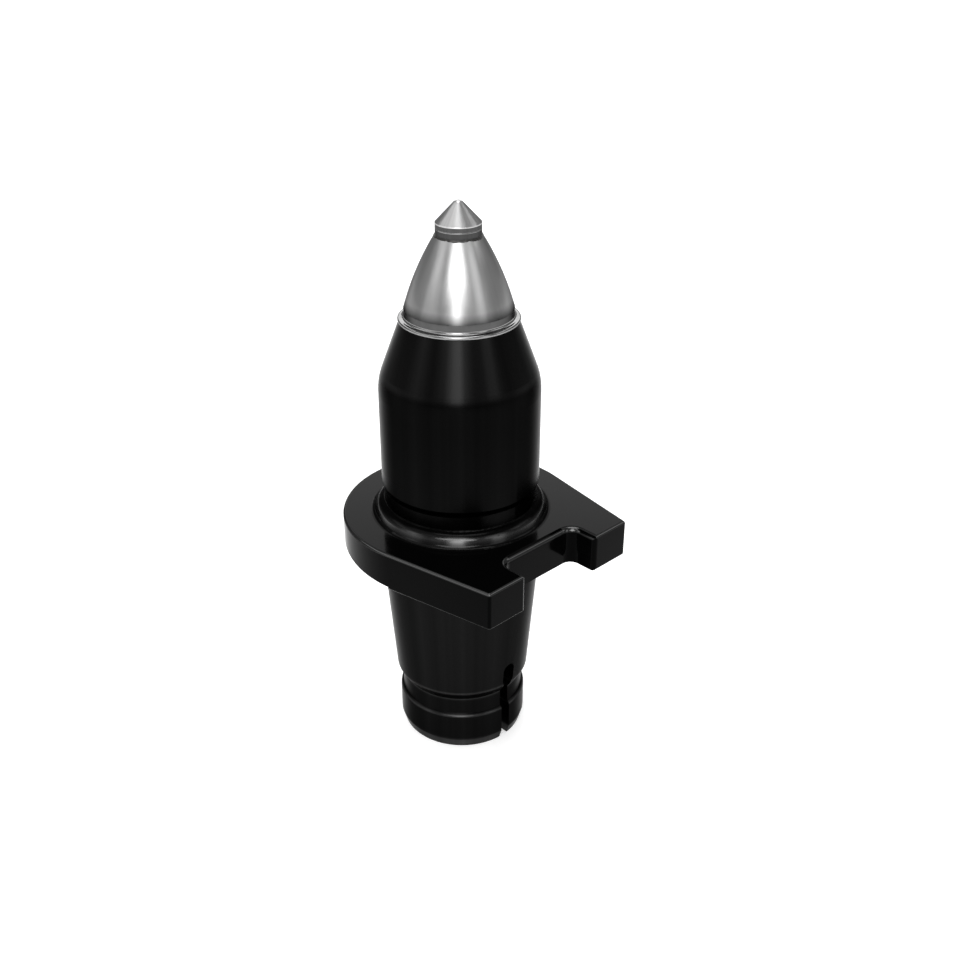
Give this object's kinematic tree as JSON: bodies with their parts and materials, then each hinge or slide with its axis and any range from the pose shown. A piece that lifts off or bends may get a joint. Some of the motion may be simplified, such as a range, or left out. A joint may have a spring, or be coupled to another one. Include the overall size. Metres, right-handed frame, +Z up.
{
  "type": "conical cutting pick",
  "caption": "Non-rotating conical pick with a brazed tip on a polished nose, a forked flange, a taper shank and a split snap-in collar.",
  "frame": {"origin": "on the pick's axis, in the plane of the flange's underside, where the pick seats on its block", "axes": "+Z up the axis to the tip; +X from the axis to the fork; +Y completes the right-handed frame"},
  "size_m": [0.0834, 0.0772, 0.1853],
  "materials": {
    "tip_cap": "fine ground, bright",
    "tip_carbide": "fine ground",
    "braze": "as brazed, dull",
    "polished_nose": "polished round the axis",
    "bright_ring": "bright, smooth",
    "black_steel": "gloss black coat on steel"
  },
  "bodies": {
    "root": {"diamond_cap": "tip_cap", "tip_base": "tip_carbide", "tip_braze": "braze", "nose_cone": "polished_nose", "seat_ring": "bright_ring", "pick_body": "black_steel"}
  },
  "joints": []
}
